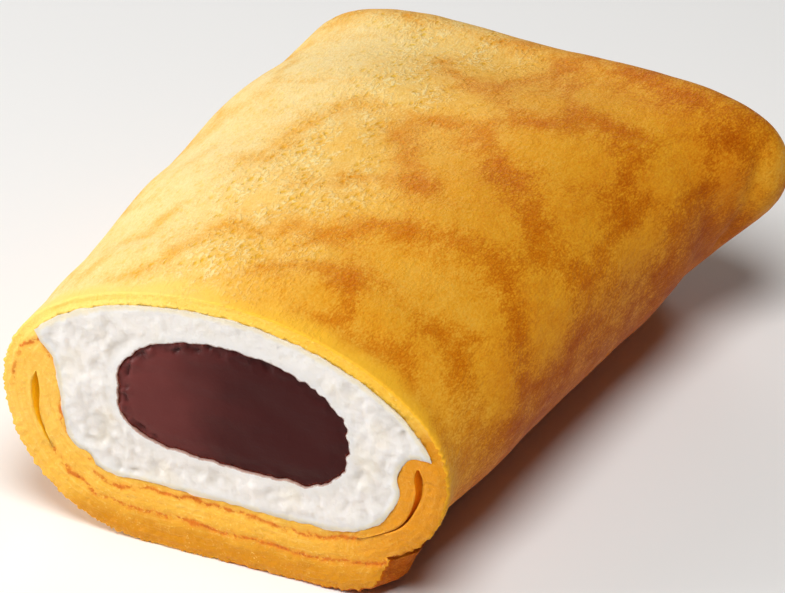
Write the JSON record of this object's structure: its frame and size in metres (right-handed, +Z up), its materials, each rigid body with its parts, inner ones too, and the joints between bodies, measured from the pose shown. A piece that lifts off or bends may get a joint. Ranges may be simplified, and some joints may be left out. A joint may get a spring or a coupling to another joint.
{
  "type": "rolled crepe",
  "caption": "Rolled crepe cut open at one end, a folded browned sheet round whipped cream with a dark paste core.",
  "frame": {"origin": "on the flat underside, midway along the roll and below the middle of the cut face", "axes": "+Z up from the surface it lies on; +Y along the roll, from the cut face at -Y to the closed end; X across the roll"},
  "size_m": [0.0726, 0.097, 0.0382],
  "materials": {
    "crepe": "soft matt crepe skin, golden with browned patches",
    "whipped_cream": "off-white whipped cream, softly glossy and finely pitted",
    "paste": "smooth dark reddish brown paste with a satin sheen"
  },
  "bodies": {
    "root": {"crepe": "crepe", "cream": "whipped_cream", "paste_core": "paste"}
  },
  "joints": []
}
